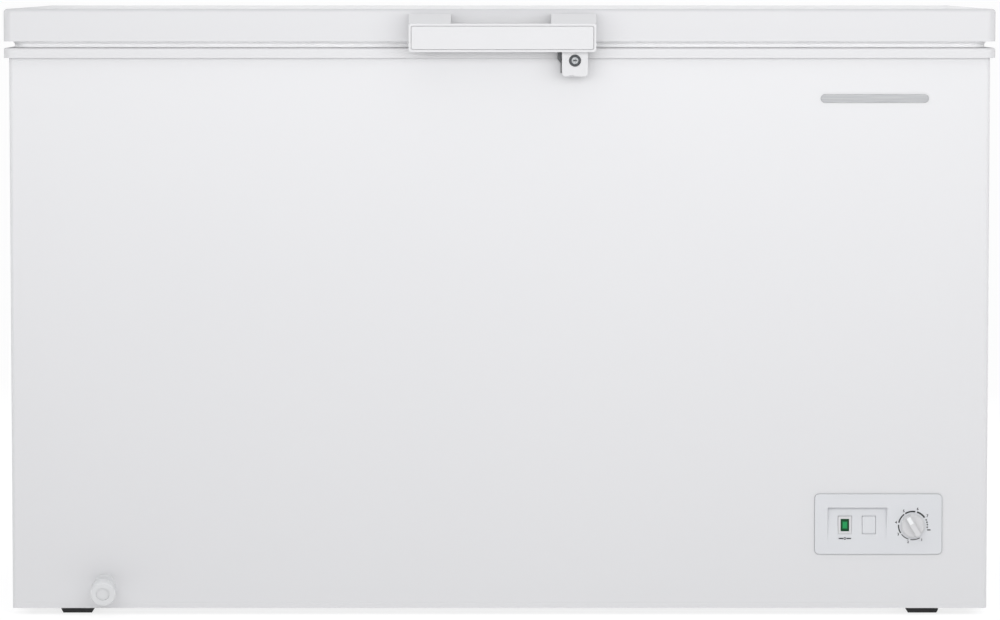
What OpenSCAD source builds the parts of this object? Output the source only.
// Chest freezer with a top lid, balanced hinges, a pull handle with a lock, a front control panel
// and a front drain. Millimetres, +X to the right, +Y to the back, +Z up. The origin is on the floor,
// at the middle of the whole freezer seen from above, handle and hinges included.

/* [Cabinet] */
// Width of the steel cabinet
cab_w = 1360; // [1130:1:1640]
// Depth of the steel cabinet, front to back
cab_d = 690; // [575:1:830]
// Height from the floor to the top of the lid
overall_h = 845; // [700:1:1020]
// Thickness of the insulated walls, outside to inside
wall = 70; // [58:1:84]
// Thickness of the insulation under the tub floor
floor_ins = 64; // [53:1:77]
// Thickness of the painted steel sheet
sheet = 0.8; // [0.6:0.1:1.2]
// Outer radius of the cabinet's two front edges
edge_r = 6; // [4:0.5:10]
// Height of the cabinet's bottom edge above the floor
foot_h = 10; // [8:0.5:16]
// Height of the base plate above the cabinet's bottom edge
base_up = 10; // [8:0.5:14]
// Width of the folded flange along the cabinet's bottom and back edges
flange_w = 16; // [10:1:22]

/* [Tub] */
// Thickness of the inner liner
liner_t = 1; // [0.8:0.1:1.5]
// Radius of the tub's upright corners
tub_r = 24; // [16:1:34]
// Width of the machine compartment, from the cabinet's right side
bay_w = 250; // [240:1:300]
// Height of the machine compartment above the base
bay_h = 250; // [225:1:300]
// Thickness of the insulation between the machine compartment and the tub
bay_ins = 50; // [42:1:60]

/* [Collar] */
// How far the collar and the lid stand out past the cabinet on each side
overhang = 7; // [5:0.5:9]
// Height of the collar's outer face
collar_h = 14; // [12:0.5:18]
// Wall thickness of the collar's top and outer face
collar_t = 2.5; // [2:0.1:3]
// Radius of the collar's upper outer edge
collar_edge_r = 2.4; // [1.5:0.1:2.5]
// Wall thickness of the collar's inner lip
lip_t = 2; // [1.6:0.1:2.4]
// Depth of the inner lip below the collar's top, down to the basket ledge
lip_drop = 31; // [27:1:38]
// Width of the ledge that carries the basket
ledge_w = 10; // [9:0.5:12]
// Thickness of the basket ledge
ledge_t = 3; // [2:0.5:4]

/* [Lid] */
// Height of the lid's outer skirt
lid_h = 45; // [40:1:54]
// Gap between the collar's top and the lid's skirt, where the gasket shows
lid_gap = 9; // [8:0.5:11]
// Radius of the lid's upright corners
lid_corner_r = 12; // [10:0.5:16]
// Radius of the lid's upper edge
lid_edge_r = 5; // [4:0.5:8]
// Thickness of the moulded inner panel
panel_t = 1.5; // [1.2:0.1:2]
// Depth of the inner panel's plug below the lid's skirt
plug_drop = 25; // [20:1:30]
// Clearance between the plug and the collar's inner lip
plug_gap = 12; // [10:0.5:15]

/* [Gasket] */
// Distance of the gasket's outer face behind the lid's edge
gasket_in = 11; // [9:0.5:14]
// Width of the gasket
gasket_w = 18; // [15:0.5:21]
// Free gap left between the gasket and the collar
gasket_clear = 0.3; // [0.2:0.1:0.5]

/* [Handle] */
// Overall width of the handle
handle_w = 258; // [215:1:310]
// Sideways distance of the handle's middle from the lid's middle
handle_x = 4; // [0:1:10]
// How far the handle stands out from the lid's front
handle_out = 42; // [38:1:50]
// Height of the grip bar
bar_h = 39; // [34:1:46]
// Thickness of the grip bar
bar_t = 15; // [13:0.5:18]
// Distance of the bar's top below the lid's top
bar_down = 20; // [17:0.5:24]
// Distance of the two arms' tops below the lid's top
arm_down = 7; // [6:0.5:9]
// Width of the finger gap between the arms
grip_w = 138; // [116:1:165]
// Thickness of the plate against the lid
back_t = 3; // [2.5:0.5:4]
// Width of the bar's raised rim around the cover
rim_w = 3; // [2.5:0.5:4]
// Thickness of the cover let into the bar's front
cover_t = 2.5; // [2:0.5:3]

/* [Lock] */
// Width of the lock housing
lock_w = 36; // [32:1:42]
// Height of the lock housing below the grip bar
lock_h = 34; // [31:1:40]
// Distance of the lock's axis from the handle's middle
lock_x = 100; // [84:1:110]
// Distance of the lock's axis below the grip bar
lock_down = 12; // [10:0.5:13]
// Radius of the lock barrel
barrel_r = 8; // [7:0.5:9]
// Reach of the lock cam from the lock's axis
cam_reach = 16; // [14:0.5:17]

/* [Control panel] */
// Width of the control panel
fascia_w = 177; // [150:1:200]
// Height of the control panel
fascia_h = 84; // [72:1:100]
// Distance of the panel's middle from the cabinet's right side
fascia_from_side = 152; // [130:1:180]
// Height of the panel's middle above the cabinet's bottom edge
fascia_up = 118; // [100:1:142]
// How far the panel stands proud of the cabinet
fascia_t = 3; // [2.5:0.5:4]
// Radius of the thermostat knob
dial_r = 16.2; // [13.5:0.1:19]
// Height of the thermostat knob
dial_h = 13; // [11:0.5:16]

/* [Drain] */
// Distance of the drain from the cabinet's left side
drain_from_side = 129; // [107:1:155]
// Height of the drain above the cabinet's bottom edge
drain_up = 33; // [31:0.5:40]
// Radius of the ring on the cabinet
drain_ring_r = 14.5; // [13:0.5:17]
// Radius of the drain knob
drain_knob_r = 17.5; // [15:0.5:18]
// Downward tilt of the drain spout
drain_tilt = 16; // [8:1:18]
// Travel of the drain sleeve when it is pulled out
drain_pull = 15; // [12:1:18]

/* [Feet] */
// Width of a foot where it meets the base
foot_w = 46; // [38:1:55]
// Distance of a foot's middle from the cabinet's side
foot_from_side = 88; // [73:1:105]
// Distance of a foot's middle from the cabinet's front or back
foot_from_front = 50; // [42:1:60]

/* [Compressor] */
// Radius of the compressor's shell
comp_r = 72; // [60:1:80]
// Height of the compressor's shell
comp_h = 150; // [125:1:170]
// Height of the rubber grommets
grommet_h = 14; // [12:1:17]

/* [Hinges] */
// Distance of each hinge from the freezer's middle
hinge_x = 430; // [360:1:516]
// Distance of the hinge axis behind the back panel
axis_back = 24; // [23:0.5:27]
// Height of the hinge axis above the collar's top
axis_up = 4; // [3:0.5:5]
// Height of the hinge housing below the hinge axis
housing_h = 145; // [121:1:174]
// Thickness of the hinge plates
plate_t = 2; // [1.6:0.1:2.4]
// Radius of the hinge pins
pin_r = 3.5; // [3:0.1:4]
// Distance of the roller from the hinge axis
crank_r = 10; // [9:0.5:11]
// Lift of the spring slider over the whole opening
slider_lift = 6.5; // [5.5:0.1:6.5]

/* [Basket] */
// Length of the basket along the freezer
basket_l = 300; // [250:1:360]
// Depth of the basket below its rim
basket_h = 200; // [167:1:240]
// Radius of the basket's rim wire
rim_wire_r = 3; // [2.5:0.1:3.5]
// Radius of the basket's mesh wire
mesh_wire_r = 1.6; // [1.4:0.1:2]

/* [Hidden] */
$fn = 48;
fit = 0.2;            // clearance between fixed pieces that slip into each other
running = 0.06;       // radial clearance of a turning or sliding fit
over = 1;             // how far a cutter runs past the face that it cuts

// Frame: the handle's front and the hinge housings' back are equally far from Y = 0.
housing_d = axis_back + 8;
hinge_out = housing_d - overhang - sheet;
lid_w = cab_w + 2 * overhang;
lid_d = cab_d + 2 * overhang;
y_lid_front = handle_out - (handle_out + lid_d + hinge_out) / 2;
y_lid_back = y_lid_front + lid_d;
y_front = y_lid_front + overhang;   // the cabinet's front face
y_back = y_front + cab_d;           // the cabinet's back edge
y_mid = (y_front + y_back) / 2;
y_rear = y_back - sheet;            // the back panel's outer face
x_side = cab_w / 2;

// Levels, from the floor up.
z_base = foot_h + base_up;
z_floor = z_base + floor_ins + liner_t;
z_lid_bottom = overall_h - lid_h;
z_collar = z_lid_bottom - lid_gap;
z_collar_low = z_collar - collar_h;
z_liner_top = z_collar - collar_t;
z_foam_top = z_liner_top - liner_t;
z_ledge = z_collar - lip_drop;
z_plug = z_lid_bottom - plug_drop;
z_axis = z_collar + axis_up;

// Tub and machine compartment.
tub_w = cab_w - 2 * wall;
tub_d = cab_d - 2 * wall;
x_bay = x_side - bay_w;
x_step = x_bay - bay_ins;
z_bay = z_base + bay_h;
z_step = z_bay + bay_ins;
low_w = x_step + tub_w / 2;         // length of the tub's deep part
low_x = (x_step - tub_w / 2) / 2;   // and its middle

// ---- Shapes that repeat ----

module rounded_rect(w, d, r) {
    square([w - 2 * r, d], center = true);
    square([w, d - 2 * r], center = true);
    for (x = [-1, 1], y = [-1, 1]) translate([x * (w / 2 - r), y * (d / 2 - r)]) circle(r);
}

module slab(w, d, r, z0, z1) {
    translate([0, 0, z0]) linear_extrude(z1 - z0) rounded_rect(w, d, r);
}

module box(x, y, z) {
    translate([x[0], y[0], z[0]]) cube([x[1] - x[0], y[1] - y[0], z[1] - z[0]]);
}

// Carries a profile drawn as [distance outside the outline, height] round a rounded rectangle.
module sweep_rect(w, d, r) {
    for (i = [0:3]) {
        sx = (i == 0 || i == 3) ? 1 : -1;
        sy = i < 2 ? 1 : -1;
        run = i % 2 == 0 ? w - 2 * r : d - 2 * r;
        translate([sx * (w / 2 - r), sy * (d / 2 - r), 0]) {
            rotate([0, 0, 90 * i]) rotate_extrude(angle = 90) translate([r, 0]) children();
            rotate([0, 0, 90 * i + 90]) translate([r, run, 0]) rotate([90, 0, 0])
                linear_extrude(run) children();
        }
    }
}

module rod(a, b, r) {
    v = b - a;
    len = norm(v);
    translate(a) rotate([0, acos(v[2] / len), atan2(v[1], v[0])]) cylinder(r = r, h = len);
}

// A bent tube: straight lengths with a ball a hair larger than the tube at each bend.
module tube_path(points, r) {
    for (i = [0:len(points) - 2]) rod(points[i], points[i + 1], r);
    if (len(points) > 2) for (i = [1:len(points) - 2]) translate(points[i]) sphere(r * 1.03);
}

// Square channel along the same path, cut from the foam so that the tube lies in it.
module tube_channel(points, r) {
    half = r * 1.03 + fit;
    for (i = [0:len(points) - 2]) {
        a = points[i];
        b = points[i + 1];
        low = [for (k = [0:2]) min(a[k], b[k]) - half];
        high = [for (k = [0:2]) max(a[k], b[k]) + half];
        translate(low) cube(high - low);
    }
}

// A screw along +Y with its head at -Y: the head's underside is at Y = 0.
module screw(head_r, head_h, shank_r, length) {
    rotate([-90, 0, 0]) {
        cylinder(r = shank_r, h = length);
        translate([0, 0, -head_h]) cylinder(r = head_r, h = head_h);
    }
}

module about_x(x0, x1) { translate([x0, 0, 0]) rotate([90, 0, 90]) linear_extrude(x1 - x0) children(); }
module about_y(y0, y1) { translate([0, y1, 0]) rotate([90, 0, 0]) linear_extrude(y1 - y0) children(); }
module mid() { translate([0, y_mid, 0]) children(); }

// ---- Where things are ----

fascia_x = x_side - fascia_from_side;
fascia_z = foot_h + fascia_up;
fascia_hole_w = fascia_w - 14;
fascia_hole_h = fascia_h - 14;
dial_x = fascia_x + 48;
dial_z = fascia_z - 2;
recess_x = fascia_x - 29.5;
recess_w = 82;
recess_h = 48;
recess_top = fascia_h / 2 - 19;
recess_deep = 5;
lamp_x = fascia_x - 46.5;
blank_x = fascia_x - 13;
lamp_z = fascia_z - 1.5;
window_w = 19;
window_h = 25;

drain_x = -x_side + drain_from_side;
drain_z = foot_h + drain_up;
drain_pipe_r = 8;
drain_bore_r = 6;
drain_y = y_front + wall + 45;      // the outlet in the tub floor
spout_l = 26;
spout_r = 7;
spout_bore_r = 5;
spout_root = 4;                     // thickness of the ring on the cabinet

handle_x0 = handle_x - handle_w / 2;
handle_x1 = handle_x + handle_w / 2;
grip_x0 = handle_x - 2 - grip_w / 2;
grip_x1 = handle_x - 2 + grip_w / 2;
y_bar_front = y_lid_front - handle_out;
y_bar_back = y_bar_front + bar_t;
z_bar_top = overall_h - bar_down;
z_bar_low = z_bar_top - bar_h;
z_arm_top = overall_h - arm_down;
z_arm_low = z_lid_bottom + 3;
handle_screw_x = [handle_x0 + 16, grip_x0 - 16, grip_x1 + 16, handle_x1 - 16];
handle_screw_z = (z_arm_low + z_bar_top) / 2;

lock_px = handle_x + lock_x;
lock_z = z_bar_low - lock_down;
lock_y0 = y_bar_back;               // the lock housing's front face
lock_y1 = y_lid_front - 9;          // and its back face
cam_y0 = y_lid_front - 7.5;
cam_t = 2;
keeper_left = lock_px - lock_w / 2 - 6;
keeper_y0 = y_lid_front - 8;

side_hole_y = [y_mid - 40, y_back - 60];
side_hole_z = [z_base + 40, z_base + 200];
rear_hole_x = [x_bay + 25, x_side - 25];
rear_hole_z = [z_base + 25, z_base + 205];
gland_x = x_bay + 60;
gland_z = z_base + 228;
gland_r = 8;

comp_x = x_side - bay_w / 2 - 1;
comp_y = y_back - 130;
tray_top = z_base + 2;
comp_z = tray_top + grommet_h + 3;
mount_dx = 84;
mount_dy = 50;

housing_w = 40;
hinge_screw_z = [z_axis - housing_h + 20, z_axis - 40];
hinge_screw_dx = housing_w / 2 + 8;
leaf_z = [z_axis + 10, overall_h - 8];
leaf_screw_z = (leaf_z[0] + leaf_z[1]) / 2;
leaf_screw_dx = 22;
ear_x = 10;
ear_t = 3;
roller_r = 3.5;
lobe_r = 4.8;
slider_clear = 1.2;                 // free play between the roller and the slider
z_slider = z_axis - crank_r - roller_r - slider_clear;
slider_h = 22;
housing_in = housing_d - plate_t;   // depth inside the housing
slider_y = y_rear + housing_in / 2 + 1;
slider_half = housing_in / 2 - 4;
spring_r = housing_in / 2 - 5.5;
wire_r = 1.5;
spring_seat = z_axis - housing_h + plate_t;
spring_top = z_slider - slider_h;

// ---- Cabinet ----

module shell_profile(cut) { rounded_rect(cab_w - 2 * cut, cab_d - 2 * cut, edge_r - cut); }

module wrap(cut, z0, z1) {
    mid() translate([0, 0, z0]) linear_extrude(z1 - z0) shell_profile(cut);
}

module outer_shell() {
    color("white") difference() {
        wrap(0, foot_h, z_liner_top - fit);
        wrap(sheet, foot_h + sheet, z_liner_top + over);
        mid() slab(cab_w - 2 * flange_w, cab_d - 2 * flange_w, 2, foot_h - over, foot_h + over);
        box([-x_side + flange_w, x_side - flange_w], [y_rear - 4, y_back + over],
            [foot_h - over, z_liner_top + over]);
        box([fascia_x - fascia_hole_w / 2, fascia_x + fascia_hole_w / 2],
            [y_front - over, y_front + over], [fascia_z - fascia_hole_h / 2,
                    fascia_z + fascia_hole_h / 2]);
        box([x_side - over, x_side + over], side_hole_y, side_hole_z);
        translate([drain_x, y_front - over, drain_z]) rotate([-90, 0, 0])
            cylinder(r = drain_pipe_r + fit, h = 2 * over + sheet);
    }
}

module back_panel() {
    color("gainsboro") difference() {
        box([-x_side + edge_r + fit, x_side - edge_r - fit], [y_rear - sheet, y_rear],
            [foot_h + sheet + fit, z_foam_top]);
        box(rear_hole_x, [y_rear - 3, y_rear + over], rear_hole_z);
        translate([gland_x, y_rear + over, gland_z]) rotate([90, 0, 0]) cylinder(r = gland_r + fit,
                h = 4);
        for (s = [-1, 1], dx = [-1, 1], z = hinge_screw_z)
            translate([s * hinge_x + dx * hinge_screw_dx, y_rear + over, z]) rotate([90, 0, 0])
                cylinder(r = 2.2, h = 4);
    }
}

module base_plate() {
    color("silver") difference() {
        union() {
            intersection() {
                wrap(sheet + fit, z_base, z_base + sheet);
                box([-x_side, x_bay - sheet - fit], [y_front, y_rear - sheet - fit], [z_base - over,
                        z_bay]);
            }
            for (y = [y_front + 85, y_back - 85 - 30])
                box([-x_side + 30, x_bay - 30], [y, y + 30], [z_base - 6, z_base]);
        }
        for (y = [y_front + 85, y_back - 85 - 30])
            box([-x_side + 30 - over, x_bay - 30 + over], [y + sheet, y + 30 - sheet],
                [z_base - 6 - over, z_base - sheet]);
    }
}

// The tub's space, grown by a thickness on all sides.
module tub_space(grow, top) {
    translate([low_x, y_mid, 0])
        slab(low_w + 2 * grow, tub_d + 2 * grow, tub_r + grow, z_floor - grow, top);
    mid() slab(tub_w + 2 * grow, tub_d + 2 * grow, tub_r + grow, z_step - grow, top);
}

module inner_liner() {
    color("whitesmoke") difference() {
        union() {
            tub_space(liner_t, z_liner_top);
            mid() slab(tub_w + 30, tub_d + 30, tub_r + 15, z_foam_top, z_liner_top);
        }
        tub_space(0, z_liner_top + over);
        translate([drain_x, drain_y, z_floor - 4]) cylinder(r = drain_pipe_r + fit, h = 8);
    }
}

// Refrigerant pipes that lie in the foam.
pipe_r = 2.4;
coil_r = 4;
cond_y = y_front + sheet + pipe_r + 1;
cond_x = x_side - 80;
cond_rows = 6;
cond_z0 = z_step + 20;
cond_pitch = (z_foam_top - 50 - cond_z0) / (cond_rows - 1);
cond_out_x = x_side - 22;
evap_out = liner_t + coil_r + fit;
evap_high = [for (i = [0:3]) z_step + 40 + i * (z_foam_top - 90 - z_step) / 3];
evap_low = [for (i = [0:1]) z_floor + 50 + i * 90];
evap_y = y_back - wall + evap_out;
suction_x = x_side - wall - 60;
suction_y = evap_y + 28;

module condenser_path(r) {
    for (i = [0:cond_rows - 1])
        rod([-cond_x, cond_y, cond_z0 + i * cond_pitch],
            [i == cond_rows - 1 ? cond_out_x : cond_x, cond_y, cond_z0 + i * cond_pitch], r);
    for (i = [0:cond_rows - 2])
        translate([(i % 2 == 0 ? -1 : 1) * cond_x, cond_y, cond_z0 + (i + 0.5) * cond_pitch])
            rotate([90, i % 2 == 0 ? -90 : 90, 0])
                rotate_extrude(angle = 180) translate([cond_pitch / 2, 0]) circle(r);
    rod([cond_x, cond_y, z_bay - 12], [cond_x, cond_y, cond_z0], r);
    rod([cond_out_x, cond_y, z_bay - 12], [cond_out_x, cond_y, cond_z0 + (cond_rows - 1) * cond_pitch],
            r);
    for (p = [[cond_x, cond_z0], [cond_out_x, cond_z0 + (cond_rows - 1) * cond_pitch]])
        translate([p[0], cond_y, p[1]]) sphere(r * 1.03);
}

module condenser_grooves() {
    half = pipe_r + 2 * fit;
    deep = 2 * half + 1;
    z_top = cond_z0 + (cond_rows - 1) * cond_pitch;
    for (i = [0:cond_rows - 1])
        box([-cond_x, cond_out_x + half], [y_front, y_front + sheet + deep],
            [cond_z0 + i * cond_pitch - half, cond_z0 + i * cond_pitch + half]);
    for (s = [-1, 1])
        box([s * cond_x + (s < 0 ? -cond_pitch / 2 - half : -half),
                s * cond_x + (s < 0 ? half : cond_pitch / 2 + half)],
            [y_front, y_front + sheet + deep], [cond_z0 - half, z_top + half]);
    for (x = [cond_x, cond_out_x])
        box([x - half, x + half], [y_front, y_front + sheet + deep], [z_bay - 20, z_top + half]);
}

module evaporator_rings() {
    for (z = evap_high) mid() sweep_rect(tub_w, tub_d, tub_r) translate([evap_out, z]) children();
    for (z = evap_low) translate([low_x, y_mid, 0])
        sweep_rect(low_w, tub_d, tub_r) translate([evap_out, z]) children();
}

suction_path = [[suction_x, evap_y, evap_high[3]], [suction_x, suction_y, evap_high[3]],
    [suction_x, suction_y, z_bay - 12]];
capillary_path = [[x_bay - 25, evap_y, evap_low[0]], [x_bay - 25, suction_y, evap_low[0]],
    [x_bay - 25, suction_y, z_base + 120], [x_bay + 12, suction_y, z_base + 120]];

module evaporator_links() {
    levels = concat(evap_low, evap_high);
    for (i = [0:len(levels) - 2])
        rod([-tub_w / 2 + 60 + 30 * i, evap_y, levels[i]],
            [-tub_w / 2 + 60 + 30 * i, evap_y, levels[i + 1]], coil_r * 0.96);
}

module drain_route(r, front, top) {
    translate([drain_x, drain_y, drain_z - r - 2]) cylinder(r = r, h = top - drain_z + r + 2);
    translate([drain_x, front, drain_z]) rotate([-90, 0, 0]) cylinder(r = r, h = drain_y - front);
}

module foam_body() {
    color("khaki") difference() {
        wrap(sheet, z_base + sheet, z_foam_top);
        box([-x_side, x_side], [y_rear - sheet, y_back + over], [z_base, z_foam_top + over]);
        tub_space(liner_t, z_foam_top + over);
        box([x_bay - sheet, x_side + over], [y_front - over, y_back + over], [z_base - over,
                z_bay + sheet]);
        drain_route(drain_pipe_r + fit, y_front - over, z_floor + over);
        condenser_grooves();
        evaporator_rings() square(2 * (coil_r + fit), center = true);
        box([-tub_w / 2 + 55, -tub_w / 2 + 65 + 30 * 4], [evap_y - coil_r - fit, evap_y + coil_r + fit],
            [evap_low[0], evap_high[3]]);
        tube_channel(suction_path, coil_r);
        tube_channel(capillary_path, 1);
        for (s = [-1, 1], dx = [-1, 1], z = hinge_screw_z)
            translate([s * hinge_x + dx * hinge_screw_dx - 3, y_rear - 16, z - 3]) cube([6, 17, 6]);
    }
}

module top_collar() {
    in_w = tub_w - 2 * fit;
    in_d = tub_d - 2 * fit;
    color("white") mid() {
        sweep_rect(lid_w, lid_d, lid_corner_r) {
            translate([-collar_t, z_collar_low]) square([collar_t, collar_h - collar_edge_r]);
            translate([-collar_t, z_collar - collar_edge_r]) square([collar_t - collar_edge_r,
                    collar_edge_r]);
            intersection() {
                translate([-collar_edge_r, z_collar - collar_edge_r]) circle(collar_edge_r);
                translate([-collar_edge_r, z_collar - collar_edge_r]) square(collar_edge_r);
            }
        }
        difference() {
            slab(lid_w - 2 * collar_t, lid_d - 2 * collar_t, lid_corner_r - collar_t, z_liner_top,
                    z_collar);
            slab(in_w - 2 * lip_t, in_d - 2 * lip_t, tub_r - fit - lip_t, z_liner_top - over,
                    z_collar + over);
        }
        difference() {
            slab(cab_w + 4, cab_d + 4, edge_r + 2, z_liner_top - 8, z_liner_top);
            slab(cab_w + 2 * fit, cab_d + 2 * fit, edge_r + fit, z_liner_top - 9, z_liner_top + over);
        }
        difference() {
            slab(in_w, in_d, tub_r - fit, z_ledge - ledge_t, z_liner_top);
            slab(in_w - 2 * lip_t, in_d - 2 * lip_t, tub_r - fit - lip_t, z_ledge, z_liner_top + over);
            slab(in_w - 2 * ledge_w - 2 * lip_t, in_d - 2 * ledge_w - 2 * lip_t,
                    tub_r - ledge_w - lip_t,
                z_ledge - ledge_t - over, z_ledge + over);
        }
    }
}

module compressor_bulkhead() {
    y0 = y_front + sheet + 0.6;
    y1 = y_rear - sheet - fit;
    color("silver") difference() {
        union() {
            box([x_bay - sheet, x_bay], [y0, y1], [z_base, z_bay + sheet]);
            intersection() {
                wrap(sheet + fit, z_bay, z_bay + sheet);
                box([x_bay - sheet, x_side], [y0, y1], [z_bay - over, z_bay + 2 * over]);
            }
        }
        for (x = [cond_x, cond_out_x]) translate([x, cond_y, z_bay - over]) cylinder(r = pipe_r + 1,
                h = 4);
        translate([suction_x, suction_y, z_bay - over]) cylinder(r = coil_r + 1, h = 4);
        translate([x_bay - 3, suction_y, z_base + 120]) rotate([0, 90, 0]) cylinder(r = 2, h = 6);
    }
}

module mount_points() {
    for (dx = [-1, 1], dy = [-1, 1]) translate([comp_x + dx * mount_dx, comp_y + dy * mount_dy, 0])
            children();
}

module compressor_tray() {
    color("silver") difference() {
        union() {
            intersection() {
                wrap(sheet + fit, z_base, tray_top);
                box([x_bay + fit, x_side], [y_front, y_rear - sheet - fit], [z_base - over, z_bay]);
            }
            box([x_bay + fit, x_bay + fit + 2], [y_front + 120, y_back - 120], [tray_top,
                    tray_top + 12]);
        }
        mount_points() translate([0, 0, z_base - over]) cylinder(r = 4.2, h = 4);
        for (i = [0:6]) box([comp_x - 70, comp_x + 70], [y_front + 150 + 26 * i,
                y_front + 160 + 26 * i],
            [z_base - over, tray_top + over]);
    }
}

// ---- Refrigeration machinery ----

module compressor_shell() {
    color("dimgray") {
        translate([comp_x, comp_y, comp_z]) {
            rotate_extrude() {
                translate([0, 4]) square([comp_r - 26, comp_h - 4]);
                translate([0, 30]) square([comp_r, comp_h - 60]);
                translate([comp_r - 26, 30]) intersection() { circle(26); translate([0, -26])
                        square(26); }
                translate([comp_r - 26, comp_h - 30]) intersection() { circle(30); square([26, 30]); }
            }
            translate([0, 0, comp_h * 0.55]) cylinder(r = comp_r + 3, h = 4);
            for (a = [25, 155, 205]) rotate([0, 0, a]) translate([comp_r - 4, 0, 45])
                rotate([0, 90, 0]) cylinder(r = 4.5, h = 22);
        }
        difference() {
            box([comp_x - mount_dx - 14, comp_x + mount_dx + 14], [comp_y - mount_dy - 14,
                    comp_y + mount_dy + 14],
                [comp_z - 0.5, comp_z + 4.5]);
            box([comp_x - mount_dx + 16, comp_x + mount_dx - 16], [comp_y - mount_dy - 15,
                    comp_y - mount_dy + 8],
                [comp_z - over, comp_z + 6]);
            box([comp_x - mount_dx + 16, comp_x + mount_dx - 16], [comp_y + mount_dy - 8,
                    comp_y + mount_dy + 15],
                [comp_z - over, comp_z + 6]);
            mount_points() translate([0, 0, comp_z - 2]) cylinder(r = 8.5, h = 10);
        }
    }
}

module compressor_grommets() {
    color("black") mount_points() difference() {
        union() {
            translate([0, 0, tray_top]) cylinder(r = 12, h = comp_z - 0.5 - tray_top);
            translate([0, 0, comp_z - 0.5]) cylinder(r = 8.3, h = 5);
            translate([0, 0, comp_z + 4.5]) cylinder(r = 12, h = 3);
        }
        translate([0, 0, tray_top - over]) cylinder(r = 4.2, h = 40);
    }
}

module compressor_bolts() {
    color("silver") mount_points() {
        translate([0, 0, z_base - 4]) cylinder(r = 8, h = 4, $fn = 6);
        translate([0, 0, z_base]) cylinder(r = 4, h = comp_z + 7.5 - z_base);
        translate([0, 0, comp_z + 7.5]) cylinder(r = 10, h = 1.5);
        translate([0, 0, comp_z + 9]) cylinder(r = 7.5, h = 6, $fn = 6);
    }
}

module terminal_cover() {
    color("black") difference() {
        box([comp_x - 30, comp_x + 30], [comp_y - comp_r - 26, comp_y - comp_r + 24], [comp_z + 20,
                comp_z + 76]);
        translate([comp_x, comp_y, comp_z]) cylinder(r = comp_r + fit, h = 90);
        box([comp_x - 27, comp_x + 27], [comp_y - comp_r - 23, comp_y], [comp_z + 23, comp_z + 73]);
    }
}

// A point at a distance from the compressor's axis, in line with one of its pipe stubs.
function stub(a, out) = [comp_x + (comp_r + out) * cos(a), comp_y + (comp_r + out) * sin(a),
        comp_z + 45];

discharge_path = [stub(205, 18), stub(205, 34), [x_bay + 20, y_front + 60, comp_z + 45],
    [x_bay + 20, y_front + 60, z_bay - 22], [cond_x, cond_y, z_bay - 22], [cond_x, cond_y, z_bay - 12]];

module discharge_line() { color("peru") tube_path(discharge_path, pipe_r + 0.6); }

module condenser_coil() { color("peru") condenser_path(pipe_r); }

dryer_y = y_front + 60;
dryer_z = z_bay - 50;

module dryer_filter() {
    color("peru") {
        tube_path([[cond_out_x, cond_y, z_bay - 12], [cond_out_x, cond_y, dryer_z],
            [cond_out_x, dryer_y, dryer_z]], pipe_r);
        translate([cond_out_x, dryer_y - 1, dryer_z]) rotate([-90, 0, 0]) {
            cylinder(r1 = 3, r2 = 9, h = 14);
            translate([0, 0, 14]) cylinder(r = 9, h = 80);
            translate([0, 0, 94]) cylinder(r1 = 9, r2 = 2.2, h = 16);
        }
    }
}

module capillary_tube() {
    color("peru") tube_path(concat([[cond_out_x, dryer_y + 109, dryer_z],
        [cond_out_x, dryer_y + 120, dryer_z], [cond_out_x, dryer_y + 120, z_bay - 14],
        [x_bay + 12, suction_y, z_bay - 14]], [for (i = [3:-1:1]) capillary_path[i]],
        [capillary_path[0] + [0, coil_r, 0]]), 1);
}

module evaporator_coil() {
    color("lightgray") {
        evaporator_rings() circle(coil_r);
        evaporator_links();
    }
}

module suction_line() {
    color("peru") difference() {
        tube_path(concat([suction_path[0] + [0, coil_r - 0.4, 0]], [suction_path[1], suction_path[2]],
            [[suction_x, suction_y, z_bay - 30], stub(25, 30) + [0, 0, 30], stub(25, 30), stub(25,
                    18)]), coil_r - 0.6);
        mid() sweep_rect(tub_w, tub_d, tub_r) translate([evap_out, evap_high[3]]) circle(coil_r);
    }
}

// ---- Control panel ----

module panel_bezel() {
    color("aliceblue") difference() {
        union() {
            translate([fascia_x, 0, fascia_z]) about_y(y_front - fascia_t, y_front)
                    rounded_rect(fascia_w, fascia_h, 6);
            box([fascia_x - fascia_hole_w / 2 + fit, fascia_x + fascia_hole_w / 2 - fit],
                [y_front, y_front + 14], [fascia_z - fascia_hole_h / 2 + fit,
                        fascia_z + fascia_hole_h / 2 - fit]);
        }
        difference() {
            box([fascia_x - fascia_hole_w / 2 + 2, fascia_x + fascia_hole_w / 2 - 2], [y_front,
                    y_front + 15],
                [fascia_z - fascia_hole_h / 2 + 2, fascia_z + fascia_hole_h / 2 - 2]);
            box([recess_x - recess_w / 2 - 2, recess_x + recess_w / 2 + 2], [y_front, y_front + 5],
                [fascia_z + recess_top - recess_h - 2, fascia_z + recess_top + 2]);
        }
        translate([recess_x, 0, fascia_z + recess_top]) about_x(-recess_w / 2, recess_w / 2)
            polygon([[y_front - fascia_t - over, 0], [y_front - fascia_t + recess_deep, 0],
                [y_front - fascia_t, -recess_h], [y_front - fascia_t - over, -recess_h]]);
        for (x = [lamp_x, blank_x])
            box([x - window_w / 2, x + window_w / 2], [y_front - fascia_t - over, y_front + 20],
                [lamp_z - window_h / 2, lamp_z + window_h / 2]);
        translate([dial_x, y_front - fascia_t - over, dial_z]) rotate([-90, 0, 0]) cylinder(r = 6,
                h = 20);
    }
}

module lamp_housing() {
    color("white") difference() {
        box([lamp_x - window_w / 2 + fit, lamp_x + window_w / 2 - fit], [y_front - 1, y_front + 26],
            [lamp_z - window_h / 2 + fit, lamp_z + window_h / 2 - fit]);
        box([lamp_x - 5.9, lamp_x + 5.9], [y_front - 2, y_front + 18], [lamp_z - 8.7, lamp_z + 8.7]);
    }
}

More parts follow.
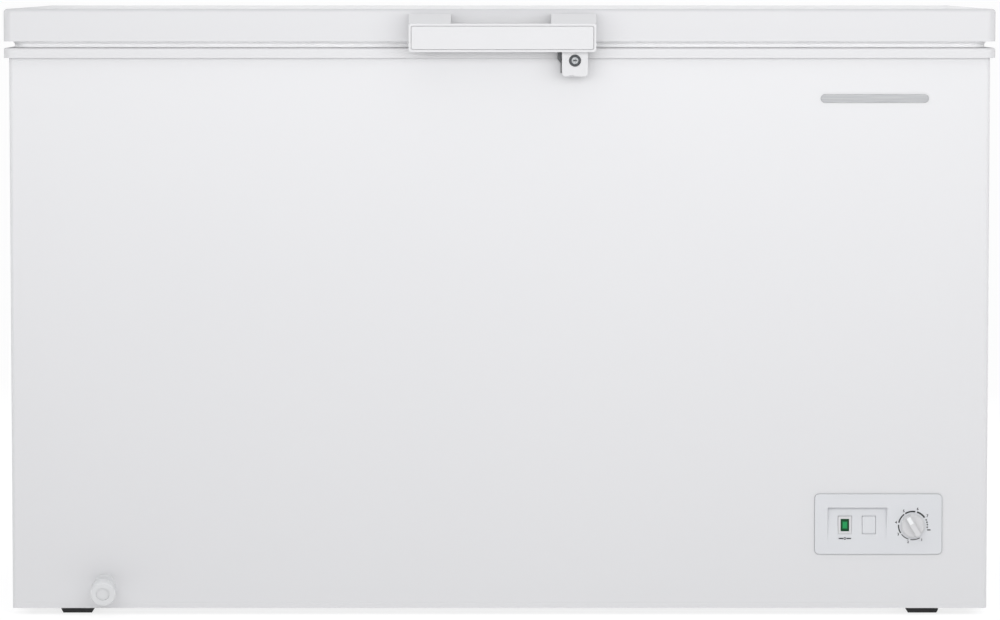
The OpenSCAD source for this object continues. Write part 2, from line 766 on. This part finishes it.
module lamp_lens() {
    color("green") box([lamp_x - 5.7, lamp_x + 5.7], [y_front - 0.6, y_front + 10], [lamp_z - 8.5,
            lamp_z + 8.5]);
}

module panel_blank() {
    color("aliceblue") difference() {
        box([blank_x - window_w / 2 + fit, blank_x + window_w / 2 - fit], [y_front - 0.8, y_front + 10],
            [lamp_z - window_h / 2 + fit, lamp_z + window_h / 2 - fit]);
        box([blank_x - window_w / 2 + 2, blank_x + window_w / 2 - 2], [y_front + 1.2, y_front + 11],
            [lamp_z - window_h / 2 + 2, lamp_z + window_h / 2 - 2]);
    }
}

shaft_r = 3;

module thermostat_body() {
    color("gray") difference() {
        union() {
            box([dial_x - 19, dial_x + 19], [y_front + 16, y_front + 46], [dial_z - 21, dial_z + 21]);
            translate([dial_x, y_front + 2, dial_z]) rotate([-90, 0, 0]) cylinder(r = 5.5, h = 15);
        }
        translate([dial_x, y_front - over, dial_z]) rotate([-90, 0, 0]) cylinder(r = shaft_r + running,
                h = 30);
    }
}

module dial_knob() {
    back = y_front - fascia_t - 0.4;
    color("white") {
        translate([dial_x, back, dial_z]) rotate([90, 0, 0]) {
            cylinder(r = dial_r, h = 4);
            translate([0, 0, 4]) cylinder(r = dial_r - 1.5, h = 1.5);
            rotate([0, 0, 30]) intersection() {
                translate([-3.5, -dial_r, 0]) cube([7, 2 * dial_r, dial_h]);
                cylinder(r = dial_r - 1, h = dial_h);
            }
        }
        translate([dial_x, back, dial_z]) rotate([-90, 0, 0]) cylinder(r = shaft_r, h = 28);
    }
}

// ---- Drain ----

// Frame with +Z out along the tilted spout, from the ring's front face.
module spout_axis_down() {
    translate([drain_x, y_front - spout_root, drain_z]) rotate([90 + drain_tilt, 0, 0]) children();
}

module drain_flange() {
    color("white") difference() {
        union() {
            translate([drain_x, y_front, drain_z]) rotate([90, 0, 0]) cylinder(r = drain_ring_r,
                    h = spout_root);
            spout_axis_down() translate([0, 0, -3]) cylinder(r = spout_r, h = spout_l + 3);
        }
        spout_axis_down() translate([0, 0, -12]) cylinder(r = spout_bore_r, h = spout_l + 20);
        box([drain_x - 20, drain_x + 20], [y_front, y_front + 30], [drain_z - 20, drain_z + 20]);
    }
}

module drain_pipe() {
    color("white") difference() {
        drain_route(drain_pipe_r, y_front + fit, z_floor);
        drain_route(drain_bore_r, y_front - over, z_floor + over);
    }
}

module drain_sleeve() {
    color("white") spout_axis_down() difference() {
        translate([0, 0, 2]) cylinder(r = spout_bore_r - running, h = spout_l + 1);
        translate([0, 0, 1]) cylinder(r = 3.4, h = spout_l + 6);
    }
}

module drain_knob() {
    color("white") spout_axis_down() difference() {
        union() {
            translate([0, 0, 9.5]) cylinder(r = spout_r + 4, h = 8);
            translate([0, 0, 17]) cylinder(r1 = drain_knob_r - 2, r2 = drain_knob_r, h = 3);
            translate([0, 0, 20]) cylinder(r = drain_knob_r, h = 12);
            translate([0, 0, 32]) cylinder(r1 = drain_knob_r, r2 = drain_knob_r - 1.5, h = 1.5);
        }
        translate([0, 0, 8]) cylinder(r = spout_r + running, h = spout_l - 8 + fit);
        translate([0, 0, 8]) cylinder(r = spout_bore_r, h = spout_l - 5 + fit);
        translate([0, 0, 31.5]) cylinder(r = 9.5, h = 4);
        rotate([0, 0, -40]) translate([0, spout_r - 1, 13]) rotate([-90, 0, 0]) cylinder(r = 1.4,
                h = 8);
    }
}

module drain_plug() {
    color("gray") translate([drain_x, drain_y, z_floor]) {
        cylinder(r = 15, h = 3);
        translate([0, 0, -16]) cylinder(r = drain_bore_r - running, h = 17);
        translate([0, 0, 3]) cylinder(r = 4, h = 7);
        translate([0, 0, 10]) cylinder(r = 8, h = 3);
    }
}

// ---- Badge, lock keeper, cord gland, grilles, feet ----

module badge_plate() {
    color("silver") translate([x_side - 160, 0, z_collar - 70]) about_y(y_front - 1.2, y_front)
            rounded_rect(150, 12, 5.9);
}

module lock_keeper() {
    bar_low = lock_z + 6;
    bar_high = bar_low + 7;
    leg_x1 = keeper_left + 5.5;
    color("dimgray") difference() {
        union() {
            about_y(keeper_y0, y_lid_front - 1) polygon([[keeper_left, bar_high], [keeper_left,
                    lock_z + 2],
                [leg_x1, lock_z - 5], [leg_x1, bar_low], [lock_px - 7, bar_low], [lock_px - 7,
                        bar_high]]);
            about_y(keeper_y0, y_front) polygon([[keeper_left, z_collar_low - 1], [keeper_left,
                    lock_z + 2],
                [leg_x1, lock_z - 5], [leg_x1, z_collar_low - 1]]);
            box([leg_x1 - 1, lock_px + 15], [y_front - 1.6, y_front], [lock_z - 18, z_collar_low - 1]);
        }
        for (x = [lock_px - 8, lock_px + 8]) translate([x, y_front - 3, lock_z - 9]) rotate([-90, 0, 0])
            cylinder(r = 2, h = 5);
    }
}

module cord_gland() {
    color("black") translate([gland_x, y_rear, gland_z]) rotate([-90, 0, 0]) difference() {
        union() {
            cylinder(r = 12, h = 3);
            translate([0, 0, -6]) cylinder(r = gland_r, h = 7);
            translate([0, 0, 3]) cylinder(r1 = 9, r2 = 6.5, h = 6);
        }
        translate([0, 0, -8]) cylinder(r = 3.8, h = 20);
    }
}

// A louvred cover on a rectangular opening: x and z ranges of the opening, a rim around it and slots.
module louvre(w, h, lap, t, rows) {
    pitch = h / rows;
    difference() {
        translate([0, 0, 0]) linear_extrude(t) rounded_rect(w + 2 * lap, h + 2 * lap, 5);
        for (i = [0:rows - 1], c = [-1, 0, 1])
            translate([c * w / 3 - w / 6 + 4, -h / 2 + (i + 0.5) * pitch - pitch * 0.22, -over])
                cube([w / 3 - 8, pitch * 0.44, t + 2 * over]);
    }
}

module rear_grille() {
    w = rear_hole_x[1] - rear_hole_x[0];
    h = rear_hole_z[1] - rear_hole_z[0];
    color("darkgray") translate([(rear_hole_x[0] + rear_hole_x[1]) / 2, y_rear,
            (rear_hole_z[0] + rear_hole_z[1]) / 2])
        translate([0, 2.5, 0]) rotate([90, 0, 0]) louvre(w, h, 9, 2.5, 12);
}

module side_grille() {
    d = side_hole_y[1] - side_hole_y[0];
    h = side_hole_z[1] - side_hole_z[0];
    color("white") translate([x_side, (side_hole_y[0] + side_hole_y[1]) / 2,
            (side_hole_z[0] + side_hole_z[1]) / 2])
        rotate([90, 0, 90]) louvre(d, h, 8, 2.5, 10);
}

// Each foot narrows downwards; side and end are -1 or 1 for left or right and front or back.
module foot(side, end) {
    x = side * (x_side - foot_from_side);
    y = end < 0 ? y_front + foot_from_front : y_back - foot_from_front;
    h = foot_w / 2;
    color("black") translate([x, 0, 0]) intersection() {
        about_y(y - h, y + h) polygon([[-h + 3.5, 0], [h - 2.5, 0], [h, 4], [h, z_base], [-h, z_base],
                [-h, 6]]);
        translate([0, y, -over]) linear_extrude(z_base + 2 * over) rounded_rect(foot_w, foot_w, 5);
    }
}

// ---- Hinges ----

module at_hinge(side) { translate([side * hinge_x, 0, 0]) children(); }

module hinge_housing(side) {
    low = z_axis - housing_h;
    half = housing_w / 2;
    color("silver") at_hinge(side) difference() {
        union() {
            for (x = [-half, half - plate_t]) about_x(x, x + plate_t)
                polygon([[y_rear, low], [y_rear + housing_d, low], [y_rear + housing_d, z_axis + 8],
                    [y_rear + 12, z_axis + 8], [y_rear + 12, z_collar_low - 2], [y_rear,
                            z_collar_low - 2]]);
            box([-half, half], [y_rear + housing_d - plate_t, y_rear + housing_d], [low, z_axis - 10]);
            box([-half, half], [y_rear, y_rear + housing_d], [low, low + plate_t]);
            for (x = [-half - 16, half - plate_t])
                box([x, x + 16 + plate_t], [y_rear, y_rear + plate_t], [low, z_collar_low - 2]);
        }
        translate([-half - over, y_rear + axis_back, z_axis]) rotate([0, 90, 0])
            cylinder(r = pin_r + running / 2, h = housing_w + 2 * over);
        for (dx = [-1, 1], z = hinge_screw_z) translate([dx * hinge_screw_dx, y_rear + 4, z])
                rotate([90, 0, 0])
            cylinder(r = 2.2, h = 8);
    }
}

module hinge_pins() {
    color("gainsboro") for (side = [-1, 1]) at_hinge(side) translate([0, y_rear + axis_back, z_axis])
            rotate([0, 90, 0]) {
        translate([0, 0, -housing_w / 2 - 2]) cylinder(r = pin_r, h = housing_w + 4);
        translate([0, 0, -housing_w / 2 - 3.5]) cylinder(r = pin_r + 2, h = 3.5 - fit);
    }
}

module hinge_screws() {
    color("gainsboro") for (s = [-1, 1], dx = [-1, 1], z = hinge_screw_z)
        translate([s * hinge_x + dx * hinge_screw_dx, y_rear + plate_t, z]) rotate([0, 0, 180])
            screw(4.2, 2.2, 2, 14);
}

module hinge_leaf(side) {
    back = y_lid_back;              // the lid's back face, which the plate lies on
    ay = y_rear + axis_back;
    color("silver") at_hinge(side) difference() {
        union() {
            box([-32, 32], [back, back + plate_t], leaf_z);
            for (x = [-ear_x - ear_t, ear_x]) about_x(x, x + ear_t) {
                translate([ay, z_axis]) circle(8);
                translate([ay, z_axis - crank_r]) circle(lobe_r);
                translate([ay - lobe_r * 0.9, z_axis - crank_r]) square([lobe_r * 1.8, crank_r]);
                polygon([[back, leaf_z[0]], [back, leaf_z[0] + 20], [ay + 3, z_axis + 7], [ay - 7,
                        z_axis - 2]]);
            }
        }
        translate([-20, ay, z_axis]) rotate([0, 90, 0]) cylinder(r = pin_r + running, h = 40);
        translate([-20, ay, z_axis - crank_r]) rotate([0, 90, 0]) cylinder(r = 1.8, h = 40);
        for (dx = [-1, 1]) translate([dx * leaf_screw_dx, back + 5, leaf_screw_z]) rotate([90, 0, 0])
            cylinder(r = 2.2, h = 8);
    }
}

module hinge_rollers() {
    color("white") for (side = [-1, 1]) at_hinge(side)
        translate([0, y_rear + axis_back, z_axis - crank_r]) rotate([0, 90, 0]) {
            translate([0, 0, -ear_x + fit]) cylinder(r = roller_r, h = 2 * (ear_x - fit));
            translate([0, 0, -ear_x - ear_t]) cylinder(r = 1.75, h = 2 * (ear_x + ear_t));
        }
}

module hinge_sliders() {
    shoulder = min(z_slider - 9, z_collar_low - slider_lift - 1.5);
    color("ivory") for (side = [-1, 1]) at_hinge(side) {
        box([-8, 8], [slider_y - 8, y_rear + axis_back + 5], [shoulder, z_slider]);
        box([-16, 16], [slider_y - slider_half, slider_y + slider_half], [spring_top, shoulder]);
        translate([0, slider_y, spring_top - 16]) cylinder(r = spring_r - wire_r - 2, h = 17);
    }
}

// A coil spring of round wire as one sweep, with its ends flat on the seat and the slider.
turns = 11;
closed_pitch = 2 * wire_r + 0.4;     // the first and last turns lie almost against each other
function coil_rise(n, h) = n < 1 ? n * closed_pitch
    : n > turns - 1 ? h - (turns - n) * closed_pitch
    : closed_pitch + (n - 1) / (turns - 2) * (h - 2 * closed_pitch);
function coil_point(n, z0, z1) = [spring_r * cos(360 * n), spring_r * sin(360 * n), z0 + coil_rise(n,
        z1 - z0)];

module coil(z0, z1) {
    steps = turns * 14;
    sides = 6;
    rings = [for (i = [0:steps]) let (n = i * turns / steps, a = 360 * n, c = coil_point(n, z0, z1))
        [for (k = [0:sides - 1]) let (b = 360 * k / sides)
            c + wire_r * [cos(b) * cos(a), cos(b) * sin(a), sin(b)]]];
    points = [for (ring = rings) each ring];
    walls = [for (i = [0:steps - 1], k = [0:sides - 1]) let (n = (k + 1) % sides)
        [i * sides + k, (i + 1) * sides + k, (i + 1) * sides + n, i * sides + n]];
    polyhedron(points, concat(walls, [[for (k = [0:sides - 1]) k]],
        [[for (k = [sides - 1:-1:0]) steps * sides + k]]));
}

module hinge_springs() {
    color("dimgray") for (side = [-1, 1]) at_hinge(side) translate([0, slider_y, 0])
        coil(spring_seat + wire_r + 0.05, spring_top - wire_r - 0.05);
}

// ---- Lid ----

module lid_outer() {
    top = overall_h - lid_edge_r;
    color("white") mid() difference() {
        union() {
            sweep_rect(lid_w, lid_d, lid_corner_r) {
                translate([-sheet, z_lid_bottom]) square([sheet, lid_h - lid_edge_r]);
                translate([-lid_edge_r, top]) intersection() {
                    difference() { circle(lid_edge_r); circle(lid_edge_r - sheet); }
                    square(lid_edge_r + over);
                }
                translate([-gasket_in + fit, z_lid_bottom]) square([gasket_in - fit - sheet, sheet]);
            }
            slab(lid_w - 2 * lid_edge_r, lid_d - 2 * lid_edge_r, lid_corner_r - lid_edge_r,
                    overall_h - sheet, overall_h);
        }
        for (x = handle_screw_x) translate([x, -lid_d / 2 - over, handle_screw_z]) rotate([-90, 0, 0])
            cylinder(r = 2.2, h = 4);
        for (s = [-1, 1], dx = [-1, 1]) translate([s * hinge_x + dx * leaf_screw_dx, lid_d / 2 + over,
                leaf_screw_z])
            rotate([90, 0, 0]) cylinder(r = 2.2, h = 4);
    }
}

plug_w = tub_w - 2 * (fit + lip_t + plug_gap);
plug_d = tub_d - 2 * (fit + lip_t + plug_gap);
z_panel = z_lid_bottom + sheet;

module lid_liner() {
    color("white") mid() difference() {
        union() {
            slab(lid_w - 2 * sheet - 2 * fit, lid_d - 2 * sheet - 2 * fit, lid_corner_r - sheet - fit,
                z_panel, z_panel + panel_t);
            slab(plug_w, plug_d, tub_r, z_plug, z_panel + 0.5);
        }
        slab(plug_w - 2 * panel_t, plug_d - 2 * panel_t, tub_r - panel_t, z_plug + panel_t,
                z_panel + panel_t + over);
        difference() {
            slab(plug_w - 160, plug_d - 130, tub_r, z_plug - over, z_plug + 0.5);
            slab(plug_w - 180, plug_d - 150, tub_r, z_plug - 2 * over, z_plug + over);
        }
    }
}

module lid_foam() {
    color("khaki") mid() difference() {
        union() {
            slab(lid_w - 2 * sheet - 2 * fit, lid_d - 2 * sheet - 2 * fit, lid_corner_r - sheet - fit,
                z_panel + panel_t, overall_h - lid_edge_r);
            slab(lid_w - 2 * lid_edge_r, lid_d - 2 * lid_edge_r, lid_corner_r - lid_edge_r,
                overall_h - lid_edge_r - over, overall_h - sheet);
            slab(plug_w - 2 * panel_t, plug_d - 2 * panel_t, tub_r - panel_t, z_plug + panel_t,
                    z_panel + panel_t + over);
        }
        for (x = handle_screw_x) box([x - 3, x + 3], [-lid_d / 2, -lid_d / 2 + 18],
                [handle_screw_z - 3, handle_screw_z + 3]);
        for (s = [-1, 1], dx = [-1, 1]) translate([s * hinge_x + dx * leaf_screw_dx, lid_d / 2,
                leaf_screw_z])
            translate([-3, -16, -3]) cube([6, 17, 6]);
    }
}

// Gasket section: a base against the lid, two thin folds, and a bulb that holds the magnet.
magnet_w = 8;
magnet_h = 2.4;
z_gasket = z_collar + gasket_clear;
gasket_ref = 2;                     // corner radius of the gasket's inner edge
gasket_l = lid_w - 2 * (gasket_in + gasket_w);
gasket_d = lid_d - 2 * (gasket_in + gasket_w);
bulb_h = 4.6;

module gasket_section() {
    high = z_panel - z_gasket;
    difference() {
        translate([0, z_gasket]) polygon([[2, 0], [gasket_w - 3, 0], [gasket_w - 2, 1],
                [gasket_w - 2.6, bulb_h],
            [gasket_w, high - 1.2], [gasket_w, high], [0, high], [0, high - 1.2], [1.6, bulb_h], [1,
                    1]]);
        translate([(gasket_w - magnet_w) / 2 - 0.7, z_gasket + 1]) square([magnet_w + 2 * fit,
                magnet_h + fit]);
        translate([0, z_gasket]) polygon([[3, bulb_h], [gasket_w - 4, bulb_h], [gasket_w - 2.4,
                high - 1.2], [2.4, high - 1.2]]);
    }
}

module lid_gasket() {
    color("lightgray") mid() difference() {
        sweep_rect(gasket_l, gasket_d, gasket_ref) gasket_section();
    }
}

module gasket_magnets() {
    u = (gasket_w - magnet_w) / 2 - 0.7 + fit;
    color("dimgray") mid() for (s = [-1, 1]) {
        box([-gasket_l / 2 + 4, gasket_l / 2 - 4],
            [s > 0 ? gasket_d / 2 + u : -gasket_d / 2 - u - magnet_w,
                    s > 0 ? gasket_d / 2 + u + magnet_w : -gasket_d / 2 - u],
            [z_gasket + 1.1, z_gasket + 1 + magnet_h]);
        box([s > 0 ? gasket_l / 2 + u : -gasket_l / 2 - u - magnet_w,
                s > 0 ? gasket_l / 2 + u + magnet_w : -gasket_l / 2 - u],
            [-gasket_d / 2 + 4, gasket_d / 2 - 4], [z_gasket + 1.1, z_gasket + 1 + magnet_h]);
    }
}

// ---- Handle and lock ----

bar_r = 4;
z_bar_mid = (z_bar_low + z_bar_top) / 2;

module handle_frame() {
    color("white") difference() {
        union() {
            translate([handle_x, 0, z_bar_mid]) about_y(y_bar_front, y_bar_back) rounded_rect(handle_w,
                    bar_h, bar_r);
            for (x = [[handle_x0, grip_x0], [grip_x1, handle_x1]])
                about_x(x[0], x[1]) polygon([[y_lid_front, z_arm_low], [y_lid_front, z_arm_top],
                    [y_bar_back, z_arm_top], [y_bar_front + 3, z_bar_top], [y_bar_front + 3,
                            z_arm_low]]);
            box([grip_x0 - 1, grip_x1 + 1], [y_lid_front - back_t, y_lid_front], [z_arm_low,
                    z_arm_top - 4]);
        }
        translate([handle_x, 0, z_bar_mid]) about_y(y_bar_front - over, y_bar_front + cover_t)
            rounded_rect(handle_w - 2 * rim_w, bar_h - 2 * rim_w, bar_r - 1);
        for (x = handle_screw_x) translate([x, y_bar_front, handle_screw_z]) rotate([-90, 0, 0]) {
            cylinder(r = 2.3, h = handle_out + over);
            cylinder(r = 5, h = bar_t);
        }
    }
}

module handle_cover() {
    color("white") translate([handle_x, 0, z_bar_mid]) about_y(y_bar_front + 0.3, y_bar_front + cover_t)
        rounded_rect(handle_w - 2 * rim_w - 1, bar_h - 2 * rim_w - 1, bar_r - 1.5);
}

module handle_screws() {
    color("gainsboro") {
        for (x = handle_screw_x) translate([x, y_bar_back, handle_screw_z]) screw(4.5, 3, 2,
                handle_out - bar_t + 14);
        for (s = [-1, 1], dx = [-1, 1]) translate([s * hinge_x + dx * leaf_screw_dx,
                y_lid_back + plate_t, leaf_screw_z])
            rotate([0, 0, 180]) screw(4.2, 2.2, 2, 14);
    }
}

module lock_housing() {
    color("white") difference() {
        translate([lock_px, 0, 0]) {
            translate([0, 0, z_bar_low - lock_h / 2]) about_y(lock_y0, lock_y1) rounded_rect(lock_w,
                    lock_h, 5);
            box([-lock_w / 2, lock_w / 2], [lock_y0, lock_y1], [z_bar_low - lock_h / 2, z_arm_low]);
        }
        translate([lock_px, lock_y0 - over, lock_z]) rotate([-90, 0, 0])
                cylinder(r = barrel_r + running, h = 40);
        box([lock_px - 8, lock_px - 2], [lock_y0 - over, lock_y0 + 4], [z_bar_low - lock_h - over,
                z_bar_low - lock_h + 1.5]);
    }
}

module lock_barrel() {
    color("dimgray") translate([lock_px, lock_y0, lock_z]) rotate([-90, 0, 0]) difference() {
        union() {
            translate([0, 0, -0.8]) cylinder(r = barrel_r, h = cam_y0 - lock_y0 + 0.8);
            cylinder(r = 4, h = cam_y0 - lock_y0 + cam_t + 2);
        }
        translate([-2.6, -0.6, -over]) cube([5.2, 1.2, 13]);
        translate([0, 0, -0.8 - over]) cylinder(r = 2, h = 3);
    }
}

module lock_cam() {
    color("silver") translate([lock_px, cam_y0, lock_z]) rotate([-90, 0, 0]) difference() {
        union() {
            cylinder(r = 6, h = cam_t);
            translate([-4, 0, 0]) cube([8, cam_reach, cam_t]);
        }
        translate([0, 0, -over]) cylinder(r = 4.02, h = 5);
    }
}

// ---- Basket ----

basket_x = -tub_w / 2 + fit + lip_t + ledge_w + 6 + basket_l / 2;
basket_in = 5.5;                    // how far the mesh walls stand inside the ledge
rim_d = tub_d - 2 * (fit + lip_t) - 2 * (ledge_w - rim_wire_r - 1) + 2;
mesh_d = tub_d - 2 * (fit + lip_t + ledge_w) - 2 * basket_in;
z_rim = z_ledge + rim_wire_r + 0.05;
z_basket = z_rim - basket_h;
mesh_cols = 12;
mesh_rows = 20;

module basket_rim() {
    color("white") translate([basket_x, y_mid, 0]) {
        sweep_rect(basket_l, rim_d, 12) translate([-rim_wire_r, z_rim]) circle(rim_wire_r);
        for (s = [-1, 1]) rod([-basket_l / 2 + rim_wire_r, s * mesh_d / 2, z_rim],
            [basket_l / 2 - rim_wire_r, s * mesh_d / 2, z_rim], rim_wire_r * 0.94);
    }
}

// A flat grid of crossed wires, the columns along the second axis and the rows along the first.
module grid(w, h, cols, rows, r) {
    for (i = [0:cols]) translate([-w / 2 + i * w / cols, -h / 2, 0]) rotate([-90, 0, 0])
            cylinder(r = r, h = h);
    for (j = [0:rows]) translate([-w / 2, -h / 2 + j * h / rows, r]) rotate([0, 90, 0]) cylinder(r = r,
            h = w);
}

// Five flat panels, so close together that they look welded: the floor, the two long walls, the two ends.
module basket_mesh() {
    r = mesh_wire_r;
    $fn = 8;
    inner_l = basket_l - 2 * rim_wire_r;
    z_top = z_rim - rim_wire_r - r - 0.05;
    wall_h = z_top - z_basket;
    inside = 6 * r + 2 * fit;
    color("white") translate([basket_x, y_mid, 0]) {
        translate([0, 0, z_basket]) grid(inner_l - inside, mesh_d - inside, 6, 10, r);
        for (s = [-1, 1]) {
            translate([0, s * mesh_d / 2, z_basket + wall_h / 2]) rotate([90, 0, s > 0 ? 0 : 180])
                grid(inner_l - 2 * r, wall_h, 6, 3, r);
            translate([s * inner_l / 2, 0, z_basket + wall_h / 2]) rotate([90, 0, s > 0 ? -90 : 90])
                grid(mesh_d - inside, wall_h, 10, 3, r);
        }
    }
}

outer_shell();
back_panel();
base_plate();
inner_liner();
foam_body();
top_collar();
compressor_bulkhead();
compressor_tray();
compressor_shell();
compressor_grommets();
compressor_bolts();
terminal_cover();
discharge_line();
condenser_coil();
dryer_filter();
capillary_tube();
evaporator_coil();
suction_line();
thermostat_body();
panel_bezel();
lamp_housing();
lamp_lens();
panel_blank();
drain_flange();
drain_pipe();
badge_plate();
lock_keeper();
cord_gland();
rear_grille();
side_grille();
foot(-1, -1);  // foot_front_left
foot(1, -1);  // foot_front_right
foot(-1, 1);  // foot_back_left
foot(1, 1);  // foot_back_right
hinge_housing(-1);  // hinge_housing_left
hinge_housing(1);  // hinge_housing_right
hinge_pins();
hinge_screws();
lid_outer();
lid_liner();
lid_foam();
lid_gasket();
gasket_magnets();
handle_frame();
handle_cover();
handle_screws();
lock_housing();
hinge_leaf(-1);  // hinge_leaf_left
hinge_leaf(1);  // hinge_leaf_right
hinge_rollers();
lock_barrel();
lock_cam();
dial_knob();
drain_sleeve();
drain_knob();
drain_plug();
basket_rim();
basket_mesh();
hinge_sliders();
hinge_springs();
